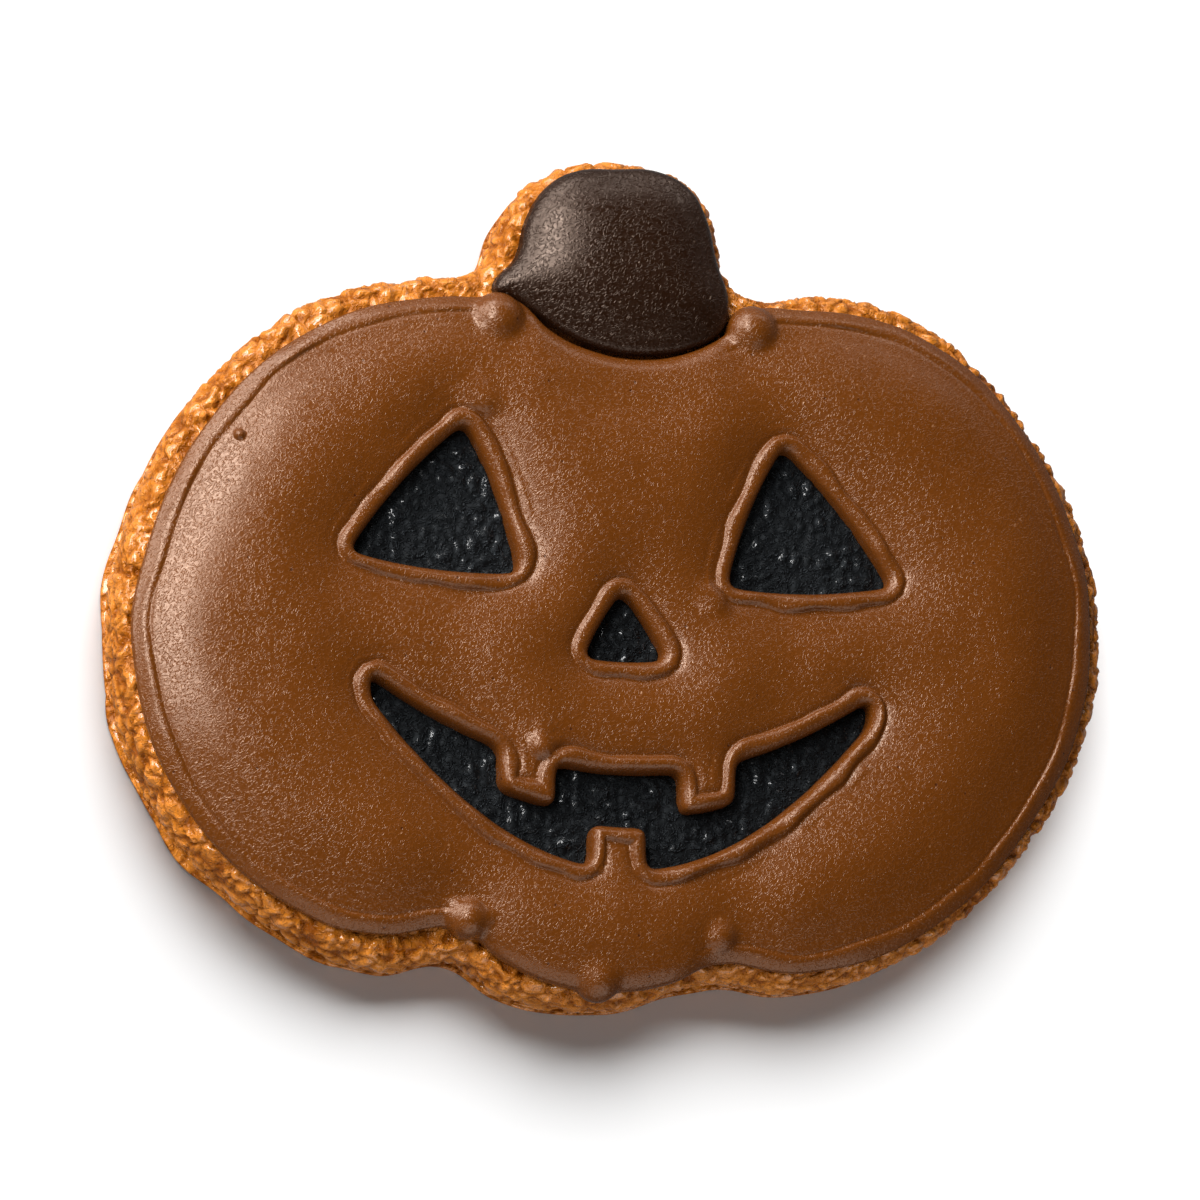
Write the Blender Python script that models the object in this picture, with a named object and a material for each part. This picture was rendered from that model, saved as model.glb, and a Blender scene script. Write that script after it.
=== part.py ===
"""An iced pumpkin biscuit, lying flat with its iced side up.

A baked biscuit carries milk-chocolate icing with piped borders, a dark
chocolate stem, and black icing in the openings of a carved lantern face.
Metres, +Z up, origin under the middle of the biscuit, +Y towards its stem.
"""

import math

import bpy
import numpy as np
from mathutils import Vector, kdtree, noise
from mathutils.geometry import delaunay_2d_cdt

MM = 0.001

# Driving sizes, in millimetres like every value below
BISCUIT_THICK = 7.0
MILK_CREST = 3.7
STEM_CREST = 3.8
FILL_THICK = 0.9
CLEARANCE = 0.3

# The biscuit's widest outline, anticlockwise from its right side
BISCUIT_EDGE = [
    (49.8, -3.2), (48.8, 4.8), (43.2, 16.8), (32.3, 27.4), (21.9, 30.0),
    (14.8, 29.2), (11.4, 30.8), (10.1, 35.9), (7.5, 40.2), (-0.5, 42.0),
    (-8.0, 39.8), (-11.8, 35.2), (-14.0, 30.4), (-19.4, 29.0), (-28.2, 27.0),
    (-39.6, 18.6), (-47.2, 6.0), (-49.8, -8.9), (-45.7, -23.3), (-35.7, -33.8),
    (-23.0, -39.2), (-16.1, -38.2), (-10.6, -41.2), (-0.1, -42.1), (9.9, -39.1),
    (18.1, -39.7), (29.9, -35.7), (41.0, -26.0), (48.2, -13.2),
]

# The foot of the milk icing, with a bay at the top for the stem
MILK_EDGE = [
    (47.8, -3.8), (46.9, 4.8), (38.7, 19.8), (31.1, 25.4), (25.1, 27.3),
    (18.0, 27.6), (13.2, 27.2), (10.5, 24.7), (6.7, 22.5), (1.6, 21.4),
    (-3.5, 22.0), (-7.5, 23.7), (-10.8, 26.5), (-14.4, 26.6), (-19.4, 26.3),
    (-29.4, 23.3), (-40.4, 13.8), (-47.6, -2.1), (-48.3, -10.2), (-42.8, -25.2),
    (-30.8, -35.0), (-24.0, -36.3), (-16.0, -35.2), (-12.4, -37.8), (-7.4, -39.8),
    (-0.8, -40.4), (4.6, -39.1), (9.2, -37.3), (17.9, -38.3), (30.6, -33.8),
    (42.8, -20.6), (47.0, -11.0),
]

# The foot of the stem's dark icing
STEM_EDGE = [
    (10.8, 27.4), (9.5, 32.0), (8.5, 36.2), (6.8, 39.1), (3.5, 40.7), (-1.0, 40.6),
    (-5.3, 40.0), (-8.3, 37.8), (-10.2, 34.0), (-12.3, 28.0), (-9.4, 25.7),
    (-6.3, 23.6), (-1.8, 22.0), (2.3, 21.8), (6.9, 22.8), (10.2, 25.1),
]

# The lantern face: the corners of its eyes and nose, and the sizes of its grin
LEFT_EYE = [(-27.6, 0.4), (-10.8, -0.8), (-16.2, 13.8)]
RIGHT_EYE = [(10.2, -1.0), (27.0, 0.0), (16.0, 13.4)]
NOSE = [(-4.3, -8.8), (3.9, -8.6), (-0.4, -2.0)]
EYE_BOW = 0.7
NOSE_BOW = 0.3
GRIN_LOW_POINT = (-0.4, -29.4)
GRIN_HALF_WIDTH = 25.0
GRIN_RISE = 15.5
GRIN_OPEN = 9.5
GRIN_END_OPEN = 2.4
TOOTH_WIDE = 5.6
TOOTH_TALL = 4.2
UPPER_TEETH = [-9.5, 8.5]
LOWER_TEETH = [-0.5]
CORNER_ROUND = 0.85

# Piped borders of the milk icing, and the pillow of icing between them
BORDER_WIDE = 1.9
BORDER_TALL = 1.75
FACE_BORDER_WIDE = 1.6
FACE_BORDER_TALL = 2.15
GROOVE_LEVEL = 1.3
SHOULDER_WIDE = 3.4
FACE_SHOULDER_WIDE = 5.4
SHOULDER_SHARE = 0.58
CROWN_WIDE = 11.0

# The valleys between the pumpkin's three lobes, from the stem to the low edge
VALLEYS = [
    [(-13.0, 25.8), (-16.0, 12.8), (-17.4, -1.2), (-17.4, -17.2), (-15.7, -35.2)],
    [(13.0, 26.4), (15.6, 12.8), (16.2, -1.2), (14.6, -17.2), (9.4, -37.2)],
]
VALLEY_DEPTH = 0.75
VALLEY_WIDE = 3.6

# Beads left where the piping starts and stops: x, y, radius, height above the biscuit
BEADS = [
    (-12.8, 24.8, 2.5, 3.3), (13.0, 25.3, 2.3, 3.2), (-14.0, 16.2, 2.0, 3.7),
    (-15.6, -34.0, 1.9, 3.4), (-0.5, -38.4, 2.2, 3.0), (9.3, -34.8, 1.8, 3.0),
    (7.9, -2.4, 1.9, 3.7), (-8.6, -17.6, 1.5, 3.3),
]

# Walls from the foot up: inset from the outline, and height
BISCUIT_WALL = [
    (0.95, 0.0), (0.3, 0.15), (0.0, 0.6), (0.35, 1.2), (0.15, 2.2), (0.05, 3.3),
    (0.05, 4.4), (0.2, 5.4), (0.55, 6.3), (1.2, 6.9),
]
ICING_FOOT = BISCUIT_THICK + CLEARANCE
MILK_WALL = [(0.0, ICING_FOOT), (0.0, ICING_FOOT + 0.65)]
STEM_WALL = [(0.0, ICING_FOOT), (0.0, ICING_FOOT + 0.35)]
STEM_FLANGE_WIDE = 0.5
STEM_SHOULDER_WIDE = 3.6
STEM_SHOULDER_SHARE = 0.72
FILL_ROUND = 0.2

# Crags of the baked wall
CRAG_TALL = 0.75
CRAG_SIZE = 3.0
CRAG_START = 0.1
CRAG_FULL = 2.1

# Spacing of the surface points
FINE_STEP = 0.1
BISCUIT_STEP = 1.3
MILK_STEP = 1.9
FACE_STEP = 1.25
STEM_STEP = 1.5
LEAST_STEP = 0.7


def evenly_spaced(path, spacing, closed=True):
    """A path resampled at about this spacing."""
    if closed:
        path = np.vstack([path, path[:1]])
    steps = np.linalg.norm(np.diff(path, axis=0), axis=1)
    travelled = np.concatenate([[0.0], np.cumsum(steps)])
    count = max(12, round(travelled[-1] / spacing))
    wanted = np.linspace(0.0, travelled[-1], count + 1)
    if closed:
        wanted = wanted[:-1]
    return np.column_stack([np.interp(wanted, travelled, path[:, k]) for k in (0, 1)])


def softened(loop, radius):
    """A closed loop drawn finely, its corners rounded as poured icing rounds them."""
    fine = evenly_spaced(np.array(loop), FINE_STEP)
    reach = math.ceil(3 * radius / FINE_STEP)
    shifts = np.arange(-reach, reach + 1)
    weights = np.exp(-0.5 * (shifts * FINE_STEP / radius) ** 2)
    total = sum(w * np.roll(fine, s, axis=0) for w, s in zip(weights, shifts))
    return total / weights.sum()


def smooth_curve(points, closed=True):
    """The places along a flat Bezier curve with automatic handles."""
    curve = bpy.data.curves.new("guide", "CURVE")
    curve.dimensions = "2D"
    curve.fill_mode = "NONE"
    curve.resolution_u = 16
    spline = curve.splines.new("BEZIER")
    spline.bezier_points.add(len(points) - 1)
    spline.use_cyclic_u = closed
    for knot, (x, y) in zip(spline.bezier_points, points):
        knot.co = (x, y, 0.0)
        knot.handle_left_type = "AUTO"
        knot.handle_right_type = "AUTO"
    guide = bpy.data.objects.new("guide", curve)
    bpy.context.scene.collection.objects.link(guide)
    graph = bpy.context.evaluated_depsgraph_get()
    drawn = guide.evaluated_get(graph).to_mesh()
    places = np.array([v.co[:2] for v in drawn.vertices])
    bpy.data.objects.remove(guide)
    bpy.data.curves.remove(curve)
    return places


def left_normals(loop):
    """Unit normals to the left of travel, where the material lies."""
    along = np.roll(loop, -1, axis=0) - np.roll(loop, 1, axis=0)
    normals = np.column_stack([-along[:, 1], along[:, 0]])
    return normals / np.linalg.norm(normals, axis=1)[:, None]


def tree_of(path):
    """A search tree over the points of a path."""
    tree = kdtree.KDTree(len(path))
    for i, (x, y) in enumerate(path):
        tree.insert((x, y, 0.0), i)
    tree.balance()
    return tree


def distance_to(places, path):
    """Distance from each place to the nearest point of a finely drawn path."""
    tree = tree_of(path)
    return np.array([tree.find((x, y, 0.0))[2] for x, y in places])


def inside(places, loop):
    """True for each place within a closed loop, by counting crossings."""
    result = np.zeros(len(places), bool)
    for (x0, y0), (x1, y1) in zip(loop, np.roll(loop, -1, axis=0)):
        if y0 == y1:
            continue
        spans = (y0 > places[:, 1]) != (y1 > places[:, 1])
        crossing = x0 + (places[:, 1] - y0) * (x1 - x0) / (y1 - y0)
        result ^= spans & (places[:, 0] < crossing)
    return result


def within(places, loops):
    """True for each place inside the first loop and outside the others."""
    result = inside(places, loops[0])
    for hole in loops[1:]:
        result &= ~inside(places, hole)
    return result


def bowed_triangle(corners, bow):
    """A triangle whose three sides swell outwards, as piped sides do."""
    path = []
    for (x0, y0), (x1, y1) in zip(corners, corners[1:] + corners[:1]):
        length = math.hypot(x1 - x0, y1 - y0)
        out_x, out_y = (y1 - y0) / length, (x0 - x1) / length
        for share in np.linspace(0.0, 1.0, 12)[:-1]:
            push = 4 * bow * share * (1 - share)
            x = x0 + (x1 - x0) * share + out_x * push
            y = y0 + (y1 - y0) * share + out_y * push
            path.append((x, y))
    return path


def lip(base, rise, teeth, tooth_height):
    """One lip of the grin from left to right, stepping over its teeth."""
    middle = GRIN_LOW_POINT[0]
    stops = [-GRIN_HALF_WIDTH]
    for tooth in teeth:
        stops += [tooth - TOOTH_WIDE / 2, tooth + TOOTH_WIDE / 2]
    stops.append(GRIN_HALF_WIDTH)
    path = []
    for number, (start, end) in enumerate(zip(stops[:-1], stops[1:])):
        lift = tooth_height if number % 2 else 0.0
        for x in np.linspace(start, end, 8):
            path.append((middle + x, base + rise * (x / GRIN_HALF_WIDTH) ** 2 + lift))
    return path


def grin():
    """The mouth: a crescent whose upper and lower teeth stand into it."""
    low = GRIN_LOW_POINT[1]
    lower = lip(low, GRIN_RISE, LOWER_TEETH, TOOTH_TALL)
    upper_rise = GRIN_RISE - GRIN_OPEN + GRIN_END_OPEN
    upper = lip(low + GRIN_OPEN, upper_rise, UPPER_TEETH, -TOOTH_TALL)
    return lower + upper[::-1]


def swollen(loop, beads):
    """The loop pushed out round each bead that lies on it."""
    for x, y, radius, _ in beads:
        away = loop - (x, y)
        distance = np.linalg.norm(away, axis=1)
        near = distance < radius
        loop[near] = (x, y) + away[near] * (radius / distance[near])[:, None]
    return softened(loop, 0.3)


def kept_clear(loop, other, gap):
    """The loop moved off another shape, to lie at least the gap outside it."""
    outward = -left_normals(other)
    tree = tree_of(other)
    moved = loop.copy()
    for i, (x, y) in enumerate(loop):
        near = tree.find((x, y, 0.0))[1]
        short = gap - (loop[i] - other[near]) @ outward[near]
        moved[i] += outward[near] * max(short, 0.0)
    return moved


def triangles_between(loops, extra):
    """Triangles over the area that the loops bound, using extra places inside it."""
    edges = []
    start = 0
    for loop in loops:
        count = len(loop)
        edges += [(start + i, start + (i + 1) % count) for i in range(count)]
        start += count
    places = np.vstack(loops + [extra])
    corners = [Vector(place) for place in places]
    faces = np.array(delaunay_2d_cdt(corners, edges, [], 0, 1e-6, False)[2])
    return faces[within(places[faces].mean(axis=1), loops)].tolist()


def without_crowding(places, least):
    """The places left after dropping each that is too near an earlier one."""
    taken, kept = {}, []
    for place in places:
        column, row = int(place[0] // least), int(place[1] // least)
        cells = [(column + i, row + j) for i in (-1, 0, 1) for j in (-1, 0, 1)]
        near = [taken[cell] for cell in cells if cell in taken]
        if all(np.linalg.norm(other - place) > least for other in near):
            taken[column, row] = place
            kept.append(place)
    return np.array(kept)


def surface_places(loops, depths, grid, beads):
    """Places for a relief top: over the beads, along the edges, then on a grid."""
    found = []
    for x, y, radius, _ in beads:
        for share, count in ((0.0, 1), (0.55, 6), (0.97, 10)):
            turns = np.arange(count) * 2 * math.pi / count
            ring = np.column_stack([np.cos(turns), np.sin(turns)])
            found.append((x, y) + ring * radius * share)
    for depth in depths:
        found += [loop + left_normals(loop) * depth for loop in loops]
    edges = np.vstack([evenly_spaced(loop, LEAST_STEP) for loop in loops])
    low, high = loops[0].min(axis=0), loops[0].max(axis=0)
    for number, y in enumerate(np.arange(low[1], high[1], grid * math.sqrt(0.75))):
        xs = np.arange(low[0] + grid / 2 * (number % 2), high[0], grid)
        row = np.column_stack([xs, np.full(len(xs), y)])
        found.append(row[distance_to(row, edges) > depths[-1] + grid / 2])
    places = np.vstack(found)
    places = places[within(places, loops)]
    places = places[distance_to(places, edges) > 0.9 * depths[0]]
    return without_crowding(places, LEAST_STEP)


def relief_slab(name, loops, wall, places, heights, material):
    """A closed solid with a flat foot, walls along the loops and a relief top.

    The first loop runs anticlockwise round the outside, the others clockwise
    round the holes. The wall is a list of insets and heights from the foot up.
    """
    normals = [left_normals(loop) for loop in loops]
    rings = [[loop + n * inset for loop, n in zip(loops, normals)] for inset, _ in wall]
    corners, faces = [], []
    for ring, (_, height) in zip(rings, wall):
        corners += [(x, y, height) for loop in ring for x, y in loop]
    ring_size = len(corners) // len(wall)
    for level in range(len(wall) - 1):
        start = level * ring_size
        for loop in loops:
            count = len(loop)
            for i in range(count):
                low, next_low = start + i, start + (i + 1) % count
                faces.append((low, next_low, next_low + ring_size, low + ring_size))
            start += count
    no_places = np.empty((0, 2))
    faces += [face[::-1] for face in triangles_between(rings[0], no_places)]
    top_start = ring_size * (len(wall) - 1)
    for face in triangles_between(rings[-1], places):
        faces.append([top_start + i for i in face])
    corners += [(x, y, z) for (x, y), z in zip(places, heights)]
    mesh = bpy.data.meshes.new(name)
    mesh.from_pydata([Vector(corner) * MM for corner in corners], [], faces)
    mesh.materials.append(material)
    mesh.shade_smooth()
    mesh.set_sharp_from_angle(angle=math.radians(50))
    return bpy.data.objects.new(name, mesh)


def food_finish(name, colour, roughness):
    """A plain food finish."""
    material = bpy.data.materials.new(name)
    material.use_nodes = True
    shader = material.node_tree.nodes["Principled BSDF"]
    shader.inputs["Base Color"].default_value = (*colour, 1.0)
    shader.inputs["Roughness"].default_value = roughness
    shader.inputs["Metallic"].default_value = 0.0
    return material


def roughen(mesh, covers):
    """Pushes the baked wall in and out in crags, leaving what the icing covers."""
    places = np.array([v.co for v in mesh.vertices]) / MM
    normals = np.array([v.normal for v in mesh.vertices])
    near_top = places[:, 2] > BISCUIT_THICK - 0.4
    covered = [inside(places[:, :2], cover) & near_top for cover in covers]
    covered = np.any(covered, axis=0)
    for vertex, place, normal in zip(mesh.vertices, places, normals):
        if covered[vertex.index]:
            continue
        spot = Vector(place) / CRAG_SIZE
        crag = 0.5 - noise.voronoi(spot)[0][0] + 0.4 * noise.noise(spot * 0.7)
        strength = (place[2] - CRAG_START) / (CRAG_FULL - CRAG_START)
        moved = place + normal * CRAG_TALL * crag * min(max(strength, 0.0), 1.0)
        moved[2] = min(moved[2], BISCUIT_THICK + 0.1)
        vertex.co = moved * MM


def make_biscuit(edge, covers):
    """The baked base: a craggy wall over a thin foot lip, flat under the icing."""
    loop = evenly_spaced(edge, BISCUIT_STEP)
    inset, _ = BISCUIT_WALL[-1]
    rim = loop + left_normals(loop) * inset
    places = surface_places([rim], [1.2], 7.0, [])
    heights = np.full(len(places), BISCUIT_THICK)
    baked = food_finish("baked_biscuit", (0.62, 0.26, 0.06), 0.55)
    biscuit = relief_slab("biscuit", [loop], BISCUIT_WALL, places, heights, baked)
    roughen(biscuit.data, covers)
    return biscuit


def piped(distance, wide, tall):
    """Height of a piped border at a distance from its edge, round across its width."""
    across = np.clip(1 - (2 * distance / wide - 1) ** 2, 0, 1)
    return tall * np.sqrt(across)


def shoulder(distance, wide):
    """0 at an edge, rising in a quarter ellipse to 1 at this width."""
    share = np.clip(distance / wide, 0, 1)
    return np.sqrt(1 - (1 - share) ** 2)


def milk_relief(places, edge, openings):
    """Height of the milk icing's top: borders, a pillow in three lobes, and beads."""
    from_edge = distance_to(places, edge)
    risen = shoulder(from_edge - BORDER_WIDE, SHOULDER_WIDE)
    borders = piped(from_edge, BORDER_WIDE, BORDER_TALL)
    for opening in openings:
        from_opening = distance_to(places, opening)
        risen *= shoulder(from_opening - 0.8 * FACE_BORDER_WIDE, FACE_SHOULDER_WIDE)
        face_border = piped(from_opening, FACE_BORDER_WIDE, FACE_BORDER_TALL)
        borders = np.maximum(borders, face_border)
    crowned = 1 - np.exp(-np.clip(from_edge - BORDER_WIDE, 0, None) / CROWN_WIDE)
    swell = SHOULDER_SHARE * risen + (1 - SHOULDER_SHARE) * crowned * risen
    pillow = GROOVE_LEVEL + (MILK_CREST - GROOVE_LEVEL) * swell
    for points in VALLEYS:
        valley = evenly_spaced(smooth_curve(points, closed=False), FINE_STEP, closed=False)
        sunk = np.exp(-((distance_to(places, valley) / VALLEY_WIDE) ** 2))
        pillow -= VALLEY_DEPTH * sunk * risen
    top = np.maximum(borders, pillow)
    for x, y, radius, crest in BEADS:
        away = np.linalg.norm(places - (x, y), axis=1) / radius
        bead = crest - radius * (1 - np.sqrt(np.clip(1 - away**2, 0, 1)))
        top = np.where(away < 1, np.maximum(top, bead), top)
    return BISCUIT_THICK + top


def make_milk_icing(edge, openings):
    """The milk-chocolate icing, open where the face shows the black icing."""
    loops = [evenly_spaced(edge, MILK_STEP)]
    loops += [evenly_spaced(opening, FACE_STEP)[::-1] for opening in openings]
    places = surface_places(loops, [0.5, 1.25, 2.1, 3.4], 3.3, BEADS)
    heights = milk_relief(places, edge, openings)
    milk = food_finish("milk_chocolate_icing", (0.20, 0.075, 0.024), 0.42)
    return relief_slab("milk_icing", loops, MILK_WALL, places, heights, milk)


def make_stem_icing(edge):
    """The dark-chocolate stem: one poured dome on a thin flange."""
    loop = evenly_spaced(edge, STEM_STEP)
    places = surface_places([loop], [0.5, 1.2, 2.2, 3.6], 2.4, [])
    from_edge = distance_to(places, edge)
    risen = shoulder(from_edge - STEM_FLANGE_WIDE, STEM_SHOULDER_WIDE)
    crowned = 1 - np.exp(-from_edge / STEM_SHOULDER_WIDE)
    swell = STEM_SHOULDER_SHARE * risen + (1 - STEM_SHOULDER_SHARE) * crowned
    flange_top = STEM_WALL[-1][1]
    heights = flange_top + (BISCUIT_THICK + STEM_CREST - flange_top) * swell
    dark = food_finish("dark_chocolate_icing", (0.025, 0.012, 0.008), 0.4)
    return relief_slab("stem_icing", [loop], STEM_WALL, places, heights, dark)


def make_fill(name, opening):
    """Black icing that floods one opening of the face: a flat pad with round edges."""
    inset = softened(opening, 0.5)
    inset += left_normals(inset) * (CLEARANCE + FILL_ROUND)
    outline = evenly_spaced(softened(inset, 0.3), FACE_STEP)
    curve = bpy.data.curves.new(name, "CURVE")
    curve.dimensions = "2D"
    curve.fill_mode = "BOTH"
    curve.extrude = ((FILL_THICK - CLEARANCE) / 2 - FILL_ROUND) * MM
    curve.bevel_depth = FILL_ROUND * MM
    curve.bevel_resolution = 0
    spline = curve.splines.new("POLY")
    spline.points.add(len(outline) - 1)
    spline.use_cyclic_u = True
    for point, (x, y) in zip(spline.points, outline):
        point.co = (x * MM, y * MM, 0.0, 1.0)
    curve.materials.append(food_finish(name, (0.012, 0.013, 0.014), 0.6))
    fill = bpy.data.objects.new(name, curve)
    fill.location.z = (BISCUIT_THICK + (CLEARANCE + FILL_THICK) / 2) * MM
    return fill


def centre_over_origin(pieces, guide_piece):
    """Moves all pieces so that the guide's box is centred over the origin."""
    corners = np.array([v.co for v in guide_piece.data.vertices])
    middle = (corners.min(axis=0) + corners.max(axis=0)) / 2
    for piece in pieces:
        piece.location.x -= middle[0]
        piece.location.y -= middle[1]


def main():
    for old in list(bpy.data.objects):
        bpy.data.objects.remove(old)
    collection = bpy.data.collections.new("iced_pumpkin_biscuit")
    bpy.context.scene.collection.children.link(collection)

    milk_edge = swollen(softened(smooth_curve(MILK_EDGE), 0.5), BEADS)
    stem_edge = kept_clear(softened(smooth_curve(STEM_EDGE), 0.3), milk_edge, 1.5 * CLEARANCE)
    stem_edge = softened(stem_edge, 0.2)
    shapes = {
        "left_eye_fill": bowed_triangle(LEFT_EYE, EYE_BOW),
        "right_eye_fill": bowed_triangle(RIGHT_EYE, EYE_BOW),
        "nose_fill": bowed_triangle(NOSE, NOSE_BOW),
        "mouth_fill": grin(),
    }
    openings = {name: softened(shape, CORNER_ROUND) for name, shape in shapes.items()}

    biscuit = make_biscuit(smooth_curve(BISCUIT_EDGE), [milk_edge, stem_edge])
    pieces = [biscuit, make_milk_icing(milk_edge, openings.values()), make_stem_icing(stem_edge)]
    pieces += [make_fill(name, opening) for name, opening in openings.items()]
    centre_over_origin(pieces, biscuit)
    for piece in pieces:
        collection.objects.link(piece)


main()
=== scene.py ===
"""The looks of an iced pumpkin biscuit: crust, chocolate icing and black lantern face."""

import math

import bpy
import numpy as np
from mathutils import Matrix, Vector, kdtree, noise
from mathutils.geometry import delaunay_2d_cdt


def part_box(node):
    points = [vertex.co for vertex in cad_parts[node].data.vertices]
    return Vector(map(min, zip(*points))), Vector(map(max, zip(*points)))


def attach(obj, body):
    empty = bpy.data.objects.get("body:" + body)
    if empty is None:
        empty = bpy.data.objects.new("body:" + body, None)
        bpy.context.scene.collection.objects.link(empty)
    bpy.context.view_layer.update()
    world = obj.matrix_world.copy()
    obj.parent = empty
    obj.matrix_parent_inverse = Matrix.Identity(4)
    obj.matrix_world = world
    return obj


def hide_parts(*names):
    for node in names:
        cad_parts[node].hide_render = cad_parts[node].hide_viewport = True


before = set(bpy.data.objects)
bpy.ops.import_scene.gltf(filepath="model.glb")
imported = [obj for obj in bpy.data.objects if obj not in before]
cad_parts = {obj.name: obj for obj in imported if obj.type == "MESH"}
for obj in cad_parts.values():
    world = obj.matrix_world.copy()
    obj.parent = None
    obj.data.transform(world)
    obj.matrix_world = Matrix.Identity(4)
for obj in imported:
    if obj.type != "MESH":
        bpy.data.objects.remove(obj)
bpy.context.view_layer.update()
MM = 0.001

# Camera
# A long lens above the biscuit, leaning to its left and to its low edge, so
# that a little of the crust's wall shows on those two sides.

TILT_LEFT = math.radians(15.5)
TILT_LOW = math.radians(12.0)
CAMERA_AWAY = 0.62
CAMERA_TARGET = Vector((-1.6, -2.0, 5.0)) * MM
SENSOR_WIDE = 36.0
PICTURE_WIDE = 1200
FOCAL_PIXELS = 6373.6

toward = Vector((
    -math.sin(TILT_LEFT) * math.cos(TILT_LOW),
    -math.sin(TILT_LOW),
    math.cos(TILT_LEFT) * math.cos(TILT_LOW),
))
up = (Vector((0, 1, 0)) - toward * toward.y).normalized()
right = up.cross(toward)
lens = bpy.data.cameras.new("camera")
lens.sensor_width = SENSOR_WIDE
lens.lens = SENSOR_WIDE * FOCAL_PIXELS / PICTURE_WIDE
lens.clip_start = 0.01
camera = bpy.data.objects.new("camera", lens)
camera.matrix_world = Matrix.Translation(CAMERA_TARGET + toward * CAMERA_AWAY) @ Matrix((right, up, toward)).transposed().to_4x4()
bpy.context.scene.collection.objects.link(camera)
bpy.context.scene.camera = camera

# Biscuit
# A rolled and cut gingery dough, baked on a tray: a craggy wall, coloured browner towards its top by the icing and
# painted darker in its creases as shade, with a thin foot lip where the dough spread.

BISCUIT_THICK = 7.0
BISCUIT_EDGE = [
    (49.8, -3.2), (48.8, 4.8), (43.2, 16.8), (32.3, 27.4), (21.9, 30.0),
    (14.8, 29.2), (11.4, 30.8), (10.1, 35.9), (7.5, 40.2), (-0.5, 42.0),
    (-8.0, 39.8), (-11.8, 35.2), (-14.0, 30.4), (-19.4, 29.0), (-28.2, 27.0),
    (-39.6, 18.6), (-47.2, 6.0), (-49.8, -8.9), (-45.7, -23.3), (-35.7, -33.8),
    (-23.0, -39.2), (-16.1, -38.2), (-10.6, -41.2), (-0.1, -42.1), (9.9, -39.1),
    (18.1, -39.7), (29.9, -35.7), (41.0, -26.0), (48.2, -13.2),
]
FOOT_WALL = [
    (3.0, 0.0), (0.8, 0.0), (0.25, 0.06), (0.0, 0.25), (0.05, 0.45), (0.5, 0.6),
    (0.2, 0.75), (0.15, 0.9), (0.5, 1.05), (0.3, 1.2),
]
SIDE_WALL = [
    (0.3, 1.2), (0.12, 1.6), (0.04, 2.4), (0.0, 3.4), (0.0, 4.4), (0.2, 5.5),
    (0.6, 6.3), (1.2, 6.85),
]
FOOT_STEP = 0.11
WALL_STEP = 0.23
SCALLOP_OUT = 0.6
BARE_WIDE = 4.0
DRAWN_STEP = 0.1


def evenly_spaced(path, spacing, closed=True):
    """A path resampled at about this spacing, one row of coordinates a point."""
    path = np.array(path, float)
    if closed:
        path = np.vstack([path, path[:1]])
    steps = np.linalg.norm(np.diff(path, axis=0), axis=1)
    travelled = np.concatenate([[0.0], np.cumsum(steps)])
    wanted = np.linspace(0.0, travelled[-1], max(12, round(travelled[-1] / spacing)) + 1)
    if closed:
        wanted = wanted[:-1]
    return np.column_stack([np.interp(wanted, travelled, column) for column in path.T])


def softened(loop, radius):
    """A closed loop drawn finely, its corners rounded as poured icing rounds them."""
    fine = evenly_spaced(loop, DRAWN_STEP)
    reach = math.ceil(3 * radius / DRAWN_STEP)
    shifts = np.arange(-reach, reach + 1)
    weights = np.exp(-0.5 * (shifts * DRAWN_STEP / radius) ** 2)
    return sum(w * np.roll(fine, s, axis=0) for w, s in zip(weights, shifts)) / weights.sum()


def smooth_curve(points, closed=True):
    """The places along a flat Bezier curve with automatic handles."""
    curve = bpy.data.curves.new("guide", "CURVE")
    curve.dimensions = "2D"
    curve.fill_mode = "NONE"
    curve.resolution_u = 40
    spline = curve.splines.new("BEZIER")
    spline.bezier_points.add(len(points) - 1)
    spline.use_cyclic_u = closed
    for knot, (x, y) in zip(spline.bezier_points, points):
        knot.co = (x, y, 0.0)
        knot.handle_left_type = "AUTO"
        knot.handle_right_type = "AUTO"
    guide = bpy.data.objects.new("guide", curve)
    bpy.context.scene.collection.objects.link(guide)
    drawn = guide.evaluated_get(bpy.context.evaluated_depsgraph_get()).to_mesh()
    places = np.array([v.co[:2] for v in drawn.vertices])
    bpy.data.objects.remove(guide)
    bpy.data.curves.remove(curve)
    return places


def left_normals(loop):
    """Unit normals to the left of travel, where the material lies."""
    along = np.roll(loop, -1, axis=0) - np.roll(loop, 1, axis=0)
    normals = np.column_stack([-along[:, 1], along[:, 0]])
    return normals / np.linalg.norm(normals, axis=1)[:, None]


def inside(places, loop):
    """True for each place within a closed loop, by counting crossings."""
    result = np.zeros(len(places), bool)
    for (x0, y0), (x1, y1) in zip(loop, np.roll(loop, -1, axis=0)):
        if y0 == y1:
            continue
        spans = (y0 > places[:, 1]) != (y1 > places[:, 1])
        result ^= spans & (places[:, 0] < x0 + (places[:, 1] - y0) * (x1 - x0) / (y1 - y0))
    return result


def within(places, loops):
    """True for each place inside the first loop and outside the others."""
    result = inside(places, loops[0])
    for hole in loops[1:]:
        result &= ~inside(places, hole)
    return result


def triangles_between(loops, extra):
    """Triangles over the area that the loops bound, using extra places inside it."""
    edges, start = [], 0
    for loop in loops:
        edges += [(start + i, start + (i + 1) % len(loop)) for i in range(len(loop))]
        start += len(loop)
    places = np.vstack([*loops, extra])
    corners = [Vector(place) for place in places]
    faces = np.array(delaunay_2d_cdt(corners, edges, [], 0, 1e-6, False)[2])
    return faces[within(places[faces].mean(axis=1), loops)].tolist()


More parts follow.
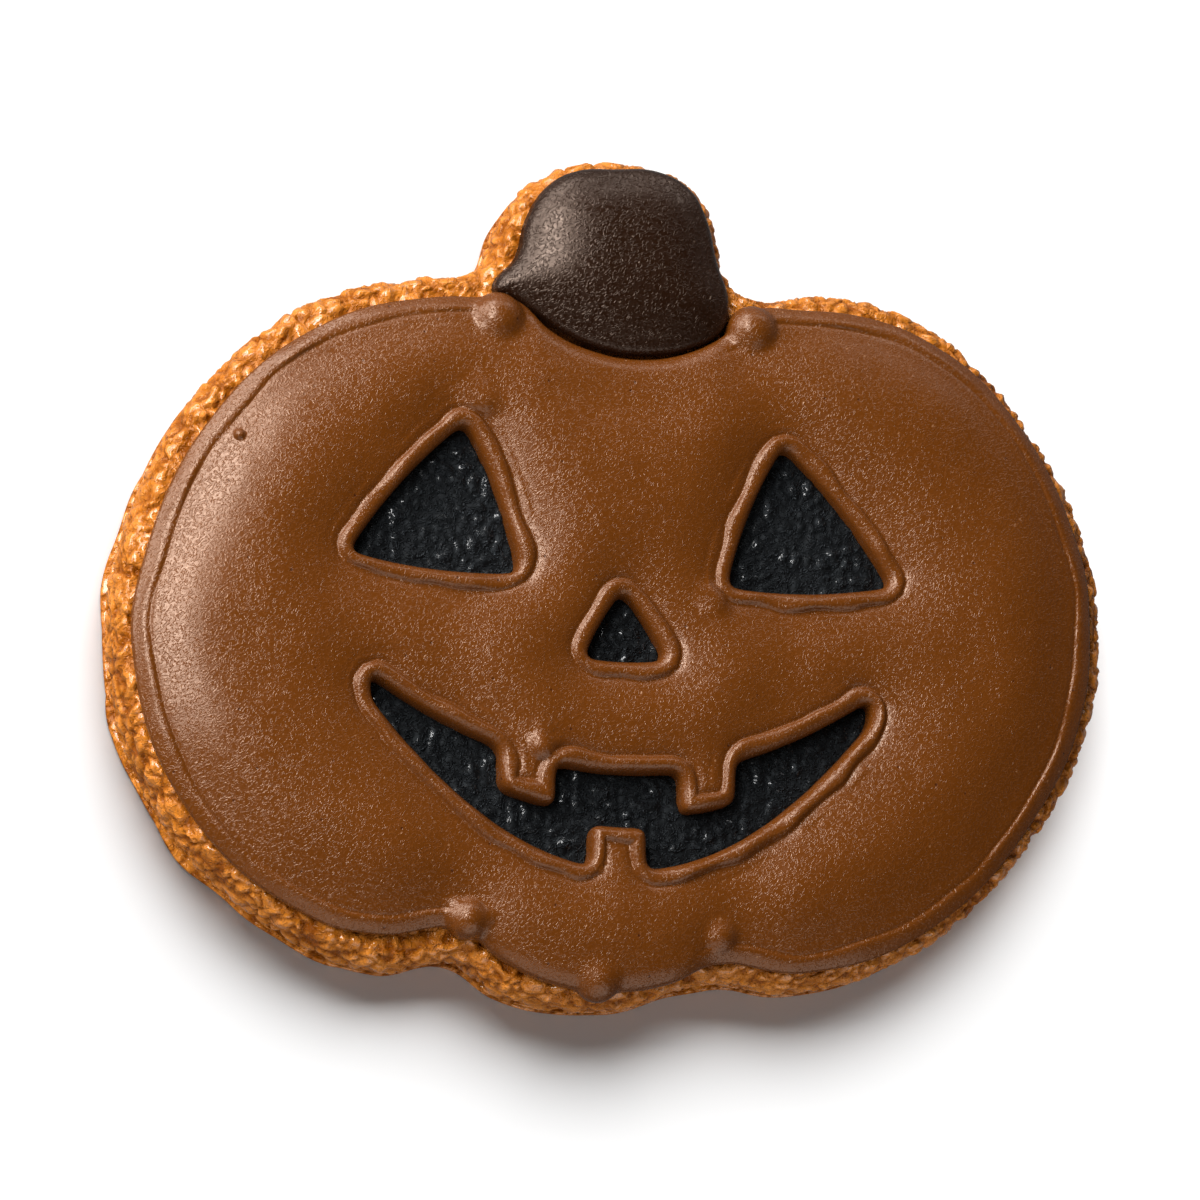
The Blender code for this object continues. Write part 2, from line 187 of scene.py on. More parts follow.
def distance_to(places, path):
    """Distance from each place to the nearest point of a finely drawn path."""
    tree = kdtree.KDTree(len(path))
    for i, (x, y) in enumerate(path):
        tree.insert((x, y, 0.0), i)
    tree.balance()
    return np.array([tree.find((x, y, 0.0))[2] for x, y in places])


def surface_places(loops, depths, grid, least):
    """Places for a relief top: at set depths along the edges, then on a grid."""
    found = [loop + left_normals(loop) * depth for depth in depths for loop in loops]
    edges = np.vstack(loops)
    low, high = loops[0].min(axis=0), loops[0].max(axis=0)
    for number, y in enumerate(np.arange(low[1], high[1], grid * math.sqrt(0.75))):
        xs = np.arange(low[0] + grid / 2 * (number % 2), high[0], grid)
        row = np.column_stack([xs, np.full(len(xs), y)])
        found.append(row[distance_to(row, edges) > depths[-1] + grid / 2])
    places = np.vstack(found)
    places = places[within(places, loops)]
    places = places[distance_to(places, edges) > 0.8 * depths[0]]
    taken, kept = {}, []
    for place in places:
        column, row = int(place[0] // least), int(place[1] // least)
        cells = [(column + i, row + j) for i in (-1, 0, 1) for j in (-1, 0, 1)]
        if all(math.dist(taken[cell], place) > least for cell in cells if cell in taken):
            taken[column, row] = place
            kept.append(place)
    return np.array(kept)


def relief_mesh(name, loops, wall, places, heights):
    """A closed mesh with a flat foot, walls along the loops and a relief top.

    The first loop runs anticlockwise round the outside, the others clockwise
    round the holes. The wall lists insets and heights from the foot up.
    """
    normals = [left_normals(loop) for loop in loops]
    rings = [[loop + n * inset for loop, n in zip(loops, normals)] for inset, _ in wall]
    corners, faces = [], []
    for ring, (_, height) in zip(rings, wall):
        corners += [(x, y, height) for loop in ring for x, y in loop]
    ring_size = len(corners) // len(wall)
    for level in range(len(wall) - 1):
        start = level * ring_size
        for loop in loops:
            for i in range(len(loop)):
                low, after = start + i, start + (i + 1) % len(loop)
                faces.append((low, after, after + ring_size, low + ring_size))
            start += len(loop)
    faces += [face[::-1] for face in triangles_between(rings[0], np.empty((0, 2)))]
    top = ring_size * (len(wall) - 1)
    faces += [[top + i for i in face] for face in triangles_between(rings[-1], places)]
    corners += [(x, y, z) for (x, y), z in zip(places, heights)]
    mesh = bpy.data.meshes.new(name)
    mesh.from_pydata((np.array(corners) * MM).tolist(), [], faces)
    mesh.shade_smooth()
    return mesh


lit_food = bpy.data.collections.new("lit_food")


def place_piece(name, mesh, material, slot, *nodes):
    """Shows a mesh in place of CAD nodes, riding on the one body."""
    mesh.materials.append(material)
    piece = bpy.data.objects.new(name, mesh)
    bpy.context.scene.collection.objects.link(piece)
    lit_food.objects.link(piece)
    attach(piece, "root")
    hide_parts(*nodes)
    return piece


def node_of(tree, kind, *wires, **settings):
    """Adds a shader node: settings by property, wires as (input, socket or value)."""
    node = tree.nodes.new(kind)
    for key, value in settings.items():
        setattr(node, key, value)
    for key, source in wires:
        if isinstance(source, bpy.types.NodeSocket):
            tree.links.new(source, node.inputs[key])
        else:
            node.inputs[key].default_value = source
    return node


def food_material(name, *sockets):
    """A material with a Principled BSDF whose sockets get these values."""
    material = bpy.data.materials.new(name)
    material.use_nodes = True
    shader = material.node_tree.nodes["Principled BSDF"]
    for key, value in sockets:
        shader.inputs[key].default_value = value
    return material, material.node_tree, shader


def crust_relief(places):
    """How far the baked crags stand out, and how much painted shade each place gets in the creases and pits."""
    out, depth = np.zeros(len(places)), np.zeros(len(places))
    for i, place in enumerate(places):
        spot = Vector(place)
        bend = noise.noise_vector(spot * 0.5) * 1.1
        nearest, second = noise.voronoi((spot + bend) / 1.8)[0][:2]
        lump = 1 - min(nearest / 0.7, 1) ** 2
        crease = max(1 - (second - nearest) / 0.32, 0)
        grain = 1 - min(noise.voronoi((spot + bend) / 0.75)[0][0] / 0.7, 1) ** 2
        swell = noise.noise(spot / 3.2)
        gap = noise.voronoi((spot + bend * 1.5) / 2.7)[0]
        pit = max(1 - gap[0] / 0.3, 0) * min(max((place[2] - 3.0) / 3.0, 0.1), 1)
        out[i] = 0.3 * (lump - 0.5) + 0.14 * (grain - 0.5) + 0.2 * swell - 0.22 * crease - 0.6 * pit
        # Painted shade: darkest deep in the creases and pits, lighter on the swells.
        depth[i] = 0.75 * crease + 0.2 * (1 - grain) + 1.3 * pit - 0.4 * swell
    return out, depth


def scallops(places):
    """How far the thin foot layer spreads out along the edge, in uneven scallops."""
    reach = np.array([noise.noise(Vector((x, y, 3.0)) / 5.5) for x, y, _ in places])
    thin = np.clip((0.5 - places[:, 2]) / 0.2, 0, 1) * np.clip(places[:, 2] / 0.05, 0, 1)
    return SCALLOP_OUT * np.clip(reach + 0.05, 0, 1) * thin


biscuit_edge = smooth_curve(BISCUIT_EDGE)
biscuit_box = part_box("biscuit")
cad_middle = (Vector(biscuit_box[0]) + Vector(biscuit_box[1])) / 2 / MM
drawn_middle = (biscuit_edge.min(axis=0) + biscuit_edge.max(axis=0)) / 2
biscuit_edge += cad_middle.xy - Vector(drawn_middle)
biscuit_wall = np.vstack([
    evenly_spaced(FOOT_WALL, FOOT_STEP, closed=False)[:-1],
    evenly_spaced(SIDE_WALL, WALL_STEP, closed=False),
])
biscuit_loop = evenly_spaced(biscuit_edge, WALL_STEP)
crust_rim = biscuit_loop + left_normals(biscuit_loop) * SIDE_WALL[-1][0]
crust_top = surface_places([crust_rim], np.arange(WALL_STEP, BARE_WIDE, WALL_STEP), 2.0, 0.12)
crust_heights = BISCUIT_THICK - 0.15 * np.exp(-distance_to(crust_top, crust_rim) / 0.5)
biscuit_mesh = relief_mesh("biscuit_crust", [biscuit_loop], biscuit_wall, crust_top, crust_heights)

crust_places = np.array([v.co for v in biscuit_mesh.vertices]) / MM
crust_normals = np.array([v.normal for v in biscuit_mesh.vertices])
crust_out, crust_shade = crust_relief(crust_places)
crust_out *= np.clip((crust_places[:, 2] - 0.6) / 1.0, 0, 1)
crust_level = crust_normals * (1, 1, 0)
crust_places += crust_normals * crust_out[:, None] + crust_level * scallops(crust_places)[:, None]
biscuit_mesh.vertices.foreach_set("co", (crust_places * MM).ravel())
# The painted shade of the creases and pits, kept on each point for the crust's colour.
crevice_shade = biscuit_mesh.attributes.new("crevice_shade", "FLOAT", "POINT")
crevice_shade.data.foreach_set("value", crust_shade)

def worm_grain():
    """A group that gives masks for dried food: curling strokes, soft grain, pinholes, specks and cloud; some materials
    paint highlights on the strokes and specks and shade in the pinholes.
    """
    group = bpy.data.node_groups.new("worm_grain", "ShaderNodeTree")
    for name, value in (("Grain Size", 3000.0), ("Curl", 0.0003), ("Stretch", 0.5)):
        group.interface.new_socket(name, in_out="INPUT", socket_type="NodeSocketFloat").default_value = value
    for name in ("Strokes", "Grain", "Pinholes", "Specks", "Cloud"):
        group.interface.new_socket(name, in_out="OUTPUT", socket_type="NodeSocketFloat")
    given = group.nodes.new("NodeGroupInput")
    result = group.nodes.new("NodeGroupOutput")
    spot = node_of(group, "ShaderNodeTexCoord").outputs["Object"]
    eddies = node_of(group, "ShaderNodeTexNoise", ("Vector", spot), ("Scale", 1400.0), ("Detail", 1.0)).outputs["Color"]
    centred = node_of(group, "ShaderNodeVectorMath", (0, eddies), (1, (0.5, 0.5, 0.5)), operation="SUBTRACT").outputs[0]
    pushed = node_of(
        group, "ShaderNodeVectorMath", (0, centred), ("Scale", given.outputs["Curl"]), operation="SCALE").outputs[0]
    curled = node_of(group, "ShaderNodeVectorMath", (0, spot), (1, pushed), operation="ADD").outputs[0]
    turned = node_of(
        group, "ShaderNodeVectorRotate", ("Vector", curled), ("Axis", (0, 0, 1)), ("Angle", math.radians(-40))).outputs[0]
    stretch = node_of(group, "ShaderNodeCombineXYZ", ("X", given.outputs["Stretch"]), ("Y", 1.0), ("Z", 1.0)).outputs[0]
    drawn = node_of(group, "ShaderNodeVectorMath", (0, turned), (1, stretch), operation="MULTIPLY").outputs[0]
    curls = node_of(
        group, "ShaderNodeTexNoise", ("Vector", drawn), ("Scale", given.outputs["Grain Size"]), ("Detail", 0.5),
        ("Roughness", 0.4)).outputs["Fac"]
    group.links.new(curls, result.inputs["Grain"])
    level = node_of(group, "ShaderNodeMath", (0, curls), (1, 0.5), operation="SUBTRACT").outputs[0]
    off_ridge = node_of(group, "ShaderNodeMath", (0, level), operation="ABSOLUTE").outputs[0]
    ridge = node_of(
        group, "ShaderNodeMapRange", ("Value", off_ridge), ("From Min", 0.0), ("From Max", 0.11),
        ("To Min", 1.0), ("To Max", 0.0)).outputs["Result"]
    breaks = node_of(group, "ShaderNodeTexNoise", ("Vector", curled), ("Scale", 3400.0), ("Detail", 0.0)).outputs["Fac"]
    kept = node_of(
        group, "ShaderNodeMapRange", ("Value", breaks), ("From Min", 0.34), ("From Max", 0.56)).outputs["Result"]
    strokes = node_of(group, "ShaderNodeMath", (0, ridge), (1, kept), operation="MULTIPLY").outputs[0]
    group.links.new(strokes, result.inputs["Strokes"])
    pores = node_of(group, "ShaderNodeTexVoronoi", ("Vector", spot), ("Scale", 430.0)).outputs["Distance"]
    pits = node_of(
        group, "ShaderNodeMapRange", ("Value", pores), ("From Min", 0.03), ("From Max", 0.075),
        ("To Min", 1.0), ("To Max", 0.0)).outputs["Result"]
    group.links.new(pits, result.inputs["Pinholes"])
    dust = node_of(group, "ShaderNodeTexVoronoi", ("Vector", drawn), ("Scale", 700.0)).outputs["Distance"]
    specks = node_of(
        group, "ShaderNodeMapRange", ("Value", dust), ("From Min", 0.035), ("From Max", 0.075),
        ("To Min", 1.0), ("To Max", 0.0)).outputs["Result"]
    group.links.new(specks, result.inputs["Specks"])
    cloud = node_of(group, "ShaderNodeTexNoise", ("Vector", spot), ("Scale", 130.0), ("Detail", 3.0)).outputs["Fac"]
    group.links.new(cloud, result.inputs["Cloud"])
    return group


grain_group = worm_grain()
crust, tree, shader = food_material(
    "baked_crust", ("Specular IOR Level", 0.3), ("Specular Tint", (1.0, 0.75, 0.5, 1.0)), ("Coat Roughness", 0.11))
grain = node_of(
    tree, "ShaderNodeGroup", ("Grain Size", 2600.0), ("Curl", 0.0006), ("Stretch", 0.7), node_tree=grain_group)
spot = node_of(tree, "ShaderNodeTexCoord").outputs["Object"]
twist = node_of(tree, "ShaderNodeTexNoise", ("Vector", spot), ("Scale", 600.0), ("Detail", 0.0)).outputs["Color"]
twisted = node_of(
    tree, "ShaderNodeVectorMath", (0, twist), (1, (0.0016, 0.0016, 0.0016)), (2, spot),
    operation="MULTIPLY_ADD").outputs[0]
beads = node_of(
    tree, "ShaderNodeTexVoronoi", ("Vector", twisted), ("Scale", 950.0), ("Smoothness", 0.15),
    feature="SMOOTH_F1").outputs["Distance"]
height = node_of(tree, "ShaderNodeSeparateXYZ", (0, spot)).outputs["Z"]
near_icing = node_of(
    tree, "ShaderNodeMapRange", ("Value", height), ("From Min", 5.4 * MM), ("From Max", 7.1 * MM),
    ("To Min", 0.0), ("To Max", 0.65), interpolation_type="SMOOTHSTEP").outputs["Result"]
golden = node_of(
    tree, "ShaderNodeMix", (0, grain.outputs["Cloud"]), (6, (0.46, 0.130, 0.0075, 1)), (7, (0.65, 0.23, 0.026, 1)),
    data_type="RGBA").outputs[2]
# The crust is coloured browner and darker towards its top, by the icing.
browner_at_top = node_of(
    tree, "ShaderNodeMix", (0, near_icing), (6, golden), (7, (0.46, 0.145, 0.014, 1)), data_type="RGBA").outputs[2]
# Painted shade: the crust is painted darker in its creases and pits and between its crags.
shade_in_hollows = node_of(tree, "ShaderNodeAttribute", attribute_name="crevice_shade").outputs["Fac"]
shade_in_hollows = node_of(
    tree, "ShaderNodeMath", (0, beads), (1, 0.5), (2, shade_in_hollows), operation="MULTIPLY_ADD").outputs[0]
shade_in_hollows = node_of(tree, "ShaderNodeMapRange", ("Value", shade_in_hollows), ("From Min", 0.4), ("From Max", 1.2)).outputs["Result"]
crust_colour = node_of(
    tree, "ShaderNodeMix", (0, shade_in_hollows), (6, browner_at_top), (7, (0.21, 0.050, 0.001, 1)), data_type="RGBA").outputs[2]
tree.links.new(crust_colour, shader.inputs["Base Color"])
glazed = node_of(
    tree, "ShaderNodeMapRange", ("Value", shade_in_hollows), ("From Min", 0.0), ("From Max", 0.5),
    ("To Min", 0.9), ("To Max", 0.0)).outputs["Result"]
tree.links.new(glazed, shader.inputs["Coat Weight"])
craggy = node_of(
    tree, "ShaderNodeMath", (0, beads), (1, -5.0), (2, grain.outputs["Strokes"]), operation="MULTIPLY_ADD").outputs[0]
bumps = node_of(
    tree, "ShaderNodeBump", ("Strength", 1.0), ("Distance", 0.00007), ("Height", craggy)).outputs["Normal"]
tree.links.new(bumps, shader.inputs["Normal"])
gloss = node_of(
    tree, "ShaderNodeMapRange", ("Value", grain.outputs["Grain"]), ("From Min", 0.35), ("From Max", 0.65),
    ("To Min", 0.42), ("To Max", 0.2)).outputs["Result"]
tree.links.new(gloss, shader.inputs["Roughness"])
place_piece("biscuit_crust", biscuit_mesh, crust, "baked_biscuit", "biscuit")

# Milk chocolate icing
# Border lines piped first, round the edge and round each opening of the face,
# then flooded inside: a satin pillow in three lobes, with stray piping beads.

MILK_EDGE = [
    (47.8, -3.8), (46.9, 4.8), (38.7, 19.8), (31.1, 25.4), (25.1, 27.3),
    (18.0, 27.6), (13.2, 27.2), (10.5, 24.7), (6.7, 22.5), (1.6, 21.4),
    (-3.5, 22.0), (-7.5, 23.7), (-10.8, 26.5), (-14.4, 26.6), (-19.4, 26.3),
    (-29.4, 23.3), (-40.4, 13.8), (-47.6, -2.1), (-48.3, -10.2), (-42.8, -25.2),
    (-30.8, -35.0), (-24.0, -36.4), (-16.0, -35.6), (-12.4, -38.2), (-7.4, -40.4),
    (-0.8, -41.0), (4.6, -40.0), (9.2, -37.9), (17.9, -38.4), (30.6, -33.8),
    (42.8, -20.6), (47.0, -11.0),
]
LEFT_EYE = [(-27.6, 0.4), (-10.8, -0.8), (-16.2, 13.8)]
RIGHT_EYE = [(10.2, -1.0), (27.0, 0.0), (16.0, 13.4)]
NOSE = [(-4.3, -8.8), (3.9, -8.6), (-0.4, -2.0)]
EYE_BOW = 0.7
NOSE_BOW = 0.3
GRIN_LOW_POINT = (-0.4, -29.4)
GRIN_HALF_WIDTH = 25.0
GRIN_RISE = 15.5
GRIN_OPEN = 9.5
GRIN_END_OPEN = 2.4
TOOTH_WIDE = 5.6
TOOTH_TALL = 4.2
UPPER_TEETH = [-9.5, 8.5]
LOWER_TEETH = [-0.5]
CORNER_ROUND = 0.85
VALLEYS = [
    [(-13.0, 25.8), (-16.0, 12.8), (-17.4, -1.2), (-17.4, -17.2), (-15.7, -35.2)],
    [(13.0, 26.4), (15.6, 12.8), (16.2, -1.2), (14.6, -17.2), (9.4, -37.2)],
]
VALLEY_SHARE = 0.26
VALLEY_WIDE = 4.2
EDGE_BEADS = [
    (-12.8, 24.6, 2.6, 3.2, 0.8), (13.0, 25.1, 2.5, 3.1, 0.8), (-15.6, -34.6, 2.0, 3.35, 0.3),
    (-2.7, -39.8, 2.3, 2.9, 0.6), (9.3, -35.2, 1.8, 2.8, 0.5),
]
FACE_BEADS = [
    (-14.6, 16.4, 1.9, 0.8), (8.3, -2.6, 1.7, 0.7), (-8.6, -17.6, 1.5, 0.7), (-38.5, 11.1, 0.6, 0.5),
]
PATCH_REACH = 1.2
PATCH_GRID = 0.12
CELL = 0.25
MILK_CREST = 3.75
BORDER_WIDE = 1.9
BORDER_TALL = 1.8
TUBE_SIDE = 0.9
TUBE_FALL = 2.6
BORDER_SIDE = 1.0
BORDER_CREST = 0.75
BORDER_FULLNESS = 1.5
GROOVE_LEVEL = 1.5
STEP_WIDE = 0.8
STEP_TALL = 0.15
ROLL_WIDE = 1.7
ROLL_TALL = 1.0
RISE_WIDE = 9.0
FACE_BORDER_WIDE = 2.0
FACE_BORDER_SIDE = 1.6
FACE_BORDER_STAND = 0.3
FACE_BORDER_FOOT = 1.7
FACE_CREST = 0.5
FACE_GROOVE = 0.35
FACE_RISE_WIDE = 7.0
FACE_LEVELS = {"left_eye_fill": 0.36, "right_eye_fill": 0.36, "nose_fill": 0.42, "mouth_fill": 0.48}
DRAG_DEEP = 0.08
PILLOW_BLUR = 1.1
MILK_WALL = [(0.3, -0.1), (0.14, 0.1), (0.04, 0.3), (0.0, 0.55), (0.0, 0.7), (0.02, TUBE_SIDE)]
MILK_STEP = 0.3


def bowed_triangle(corners, bow):
    """A triangle whose three sides swell outwards, as piped sides do."""
    path = []
    for (x0, y0), (x1, y1) in zip(corners, corners[1:] + corners[:1]):
        length = math.hypot(x1 - x0, y1 - y0)
        out_x, out_y = (y1 - y0) / length, (x0 - x1) / length
        for share in np.linspace(0.0, 1.0, 12)[:-1]:
            push = 4 * bow * share * (1 - share)
            path.append((x0 + (x1 - x0) * share + out_x * push, y0 + (y1 - y0) * share + out_y * push))
    return path


def lip(base, rise, teeth, tooth_height):
    """One lip of the grin from left to right, stepping over its teeth."""
    stops = [-GRIN_HALF_WIDTH]
    for tooth in teeth:
        stops += [tooth - TOOTH_WIDE / 2, tooth + TOOTH_WIDE / 2]
    stops.append(GRIN_HALF_WIDTH)
    path = []
    for number, (start, end) in enumerate(zip(stops[:-1], stops[1:])):
        lift = tooth_height if number % 2 else 0.0
        for x in np.linspace(start, end, 8):
            path.append((GRIN_LOW_POINT[0] + x, base + rise * (x / GRIN_HALF_WIDTH) ** 2 + lift))
    return path


def grin():
    """The mouth: a crescent whose upper and lower teeth stand into it."""
    low = GRIN_LOW_POINT[1]
    lower = lip(low, GRIN_RISE, LOWER_TEETH, TOOTH_TALL)
    upper_rise = GRIN_RISE - GRIN_OPEN + GRIN_END_OPEN
    upper = lip(low + GRIN_OPEN, upper_rise, UPPER_TEETH, -TOOTH_TALL)
    return lower + upper[::-1]


def swollen(loop, beads):
    """The loop pushed out round each bead that lies on it."""
    for x, y, radius, _, _ in beads:
        away = loop - (x, y)
        distance = np.linalg.norm(away, axis=1)
        near = distance < radius
        loop[near] = (x, y) + away[near] * (radius / distance[near])[:, None]
    return softened(loop, 0.3)


def wavering(places, size):
    """Smooth random values from about -0.5 to 0.5 over the surface."""
    return np.array([noise.noise(Vector((x, y, size)) / size) for x, y in places])


def shoulder(distance, wide):
    """0 at an edge, rising in a quarter ellipse to 1 at this width."""
    share = np.clip(distance / wide, 0, 1)
    return np.sqrt(1 - (1 - share) ** 2)


def slope(distance, wide):
    """0 at an edge, rising to 1 at this width and hardly bent on the way."""
    return 1 - (1 - np.clip(distance / wide, 0, 1)) ** BORDER_FULLNESS


def tube(distance, wide, side, tall, foot, crest_share, rise):
    """Height of a piped line at a distance from its side: a tube set in the icing."""
    share = np.clip(distance / wide, 0, 1)
    falling = np.clip((share - crest_share) / (1 - crest_share), 0, 1) ** TUBE_FALL
    height = side + (tall - side) * rise(share, crest_share) - (tall - foot) * falling
    return np.where(share < 1, height, 0.0)


def flank(distance, wide):
    """0 at an edge, rising in a parabola to 1 at this width."""
    return 1 - (1 - np.clip(distance / wide, 0, 1)) ** 2


def merged(first, second, blend):
    """The higher of two heights, with a soft crease where they meet."""
    return (first + second + np.sqrt((first - second) ** 2 + blend**2)) / 2


def cells_over(edge):
    """A grid of small cells that covers a shape: its corner, its shape and its places."""
    corner = edge.min(axis=0) - 3.0
    shape = tuple(((edge.max(axis=0) + 3.0 - corner) / CELL).astype(int))
    return corner, shape, corner + CELL * np.indices(shape).reshape(2, -1).T


def blurred(field, radius):
    """A field of cells smoothed over a radius."""
    reach = math.ceil(3 * radius / CELL)
    weights = np.exp(-0.5 * (np.arange(-reach, reach + 1) * CELL / radius) ** 2)
    for axis in (0, 1):
        field = np.apply_along_axis(np.convolve, axis, field, weights / weights.sum(), mode="same")
    return field


def sampled(field, corner, places):
    """The values of a field of cells at these places."""
    spots = (places - corner) / CELL
    i, j = spots.astype(int).T
    right_share, up_share = (spots - spots.astype(int)).T
    low = field[i, j] * (1 - right_share) + field[i + 1, j] * right_share
    high = field[i, j + 1] * (1 - right_share) + field[i + 1, j + 1] * right_share
    return low * (1 - up_share) + high * up_share


def seam_share(places):
    """1 where a groove parts the border from the pillow, 0 by the stem and the low lobe."""
    x, y = places.T
    by_stem = np.clip((y - 16.0) / 4.0, 0, 1) * np.clip((12.0 - abs(x)) / 3.0, 0, 1)
    low_lobe = np.clip((-30.0 - y) / 4.0, 0, 1) * np.clip((12.5 - abs(x + 3.1)) / 3.0, 0, 1)
    return 1 - np.maximum(by_stem, low_lobe)


def with_fine_patch(places, centre, reach, grid):
    """The places, with a finer grid of them around one small detail."""
    steps = np.arange(-reach, reach + grid / 2, grid)
    patch = np.array([(x, y) for x in steps for y in steps])
    patch = patch[np.linalg.norm(patch, axis=1) < reach]
    away = np.linalg.norm(places - centre, axis=1)
    return np.vstack([places[away > reach + grid], centre + patch])


def milk_relief(places, line, openings):
    """Height of the icing above the biscuit: borders, a pillow in three lobes, beads."""
    corner, shape, cells = cells_over(line)
    field = flank(distance_to(cells, line) - BORDER_WIDE * seam_share(cells), RISE_WIDE) * inside(cells, line[::10])
    for name, opening in openings.items():
        away = distance_to(cells, opening) * ~inside(cells, opening[::5])
        field *= FACE_LEVELS[name] + (1 - FACE_LEVELS[name]) * flank(away - FACE_BORDER_WIDE, FACE_RISE_WIDE)
    swell = sampled(blurred(field.reshape(shape), PILLOW_BLUR), corner, places)
    for points in VALLEYS:
        valley = evenly_spaced(smooth_curve(points, closed=False), DRAWN_STEP, closed=False) + shift
        swell *= 1 - VALLEY_SHARE * np.exp(-((distance_to(places, valley) / VALLEY_WIDE) ** 2))
    swell *= 1 + 0.08 * wavering(places, 9.0) + 0.02 * wavering(places, 2.2)

    from_edge = distance_to(places, line) * inside(places, line[::5])
    wide = BORDER_WIDE * (1 + 0.2 * wavering(places, 7.0))
    groove = GROOVE_LEVEL + 0.2 * wavering(places, 12.0)
    step = STEP_TALL * shoulder(from_edge - 0.95 * wide, STEP_WIDE)
    parted = groove + step + (MILK_CREST - GROOVE_LEVEL - STEP_TALL) * swell
    parted -= 3.0 * np.clip(0.9 - from_edge / wide, 0, 1)
    line_tall = BORDER_TALL + 0.2 * wavering(places, 5.0)
    border = tube(from_edge, wide, BORDER_SIDE, line_tall, groove, BORDER_CREST, slope)
    rolled = TUBE_SIDE + ROLL_TALL * shoulder(from_edge, ROLL_WIDE) + (MILK_CREST - TUBE_SIDE - ROLL_TALL) * swell
    seam = seam_share(places)
    pillow = seam * merged(border, parted, 0.06) + (1 - seam) * rolled

    rims = np.zeros(len(places))
    for name, opening in openings.items():
        from_opening = distance_to(places, opening)
        around = GROOVE_LEVEL + STEP_TALL + (MILK_CREST - GROOVE_LEVEL - STEP_TALL) * FACE_LEVELS[name]
        face_wide = FACE_BORDER_WIDE * (1 + 0.3 * wavering(places, 3.5))
        pillow -= FACE_GROOVE * (1 - shoulder(from_opening - 0.85 * face_wide, 1.4))
        pillow -= 3.0 * np.clip(0.8 - from_opening / face_wide, 0, 1)
        rim_tall = around + FACE_BORDER_STAND + 0.4 * wavering(places, 4.0)
        rim = tube(from_opening, face_wide, FACE_BORDER_SIDE, rim_tall, FACE_BORDER_FOOT, FACE_CREST, shoulder)
        rims = np.maximum(rims, rim)
        drag = np.clip(3 * wavering(places + 40.0, 4.5), 0, 1)
        pillow -= DRAG_DEEP * drag * np.exp(-((from_opening - 1.4 * FACE_BORDER_WIDE) / 0.18) ** 2)
    top = merged(rims, pillow, 0.12)

    for x, y, radius, crest, blend in EDGE_BEADS:
        away = np.linalg.norm(places - (x, y) - shift, axis=1) / radius
        bead = crest - radius * (1 - np.sqrt(np.clip(1 - away**2, 0, 1)) + 2 * np.clip(away - 1, 0, None))
        top = merged(top, bead, blend)
    for x, y, radius, stand in FACE_BEADS:
        away = np.linalg.norm(places - (x, y) - shift, axis=1) / radius
        foot = top[away.argmin()] - 0.6 * radius / 1.8
        bead = foot + (stand + 0.6 * radius / 1.8) * np.sqrt(np.clip(1 - away**2, 0, 1)) - 3 * np.clip(away - 1, 0, None)
        top = merged(top, bead, 0.15 * radius)
    return BISCUIT_THICK + top


milk_line = softened(smooth_curve(MILK_EDGE), 0.5)
milk_edge = swollen(milk_line.copy(), EDGE_BEADS)
shift = np.array(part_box("milk_icing")[1][:2]) / MM - milk_edge.max(axis=0)
milk_edge += shift
milk_line += shift
openings = {
    "left_eye_fill": bowed_triangle(LEFT_EYE, EYE_BOW),
    "right_eye_fill": bowed_triangle(RIGHT_EYE, EYE_BOW),
    "nose_fill": bowed_triangle(NOSE, NOSE_BOW),
    "mouth_fill": grin(),
}
openings = {name: softened(shape, CORNER_ROUND) + shift for name, shape in openings.items()}
milk_loops = [evenly_spaced(milk_edge, MILK_STEP)]
milk_loops += [evenly_spaced(opening, MILK_STEP)[::-1] for opening in openings.values()]
milk_depths = np.concatenate([[0.03, 0.1, 0.18], np.arange(0.27, 2.8, 0.13), np.arange(2.8, 5.0, 0.35)])
milk_places = surface_places(milk_loops, milk_depths, 0.6, 0.08)
milk_places = with_fine_patch(milk_places, shift + FACE_BEADS[-1][:2], PATCH_REACH, PATCH_GRID)
milk_heights = milk_relief(milk_places, milk_line, openings)
milk_wall = [(inset, BISCUIT_THICK + height) for inset, height in MILK_WALL]
milk_mesh = relief_mesh("milk_chocolate_icing", milk_loops, milk_wall, milk_places, milk_heights)


milk, tree, shader = food_material(
    "milk_chocolate", ("IOR", 1.52), ("Specular Tint", (1.0, 0.76, 0.6, 1.0)))
grain = node_of(
    tree, "ShaderNodeGroup", ("Grain Size", 4400.0), ("Curl", 0.00045), ("Stretch", 0.6), node_tree=grain_group)
clouded = node_of(
    tree, "ShaderNodeMix", (0, grain.outputs["Cloud"]), (6, (0.087, 0.0222, 0.0017, 1)), (7, (0.110, 0.0295, 0.0029, 1)),
    data_type="RGBA").outputs[2]
# Painted highlight: the crests of the grain strokes are painted lighter.
stroke_highlight_share = node_of(tree, "ShaderNodeMath", (0, grain.outputs["Strokes"]), (1, 0.14), operation="MULTIPLY").outputs[0]
stroke_highlighted = node_of(
    tree, "ShaderNodeMix", (0, stroke_highlight_share), (6, clouded), (7, (0.23, 0.086, 0.026, 1)), data_type="RGBA").outputs[2]
# Painted shade: the pinholes are painted darker.
pinhole_shaded = node_of(
    tree, "ShaderNodeMix", (0, grain.outputs["Pinholes"]), (6, stroke_highlighted), (7, (0.045, 0.010, 0.002, 1)),
    data_type="RGBA").outputs[2]
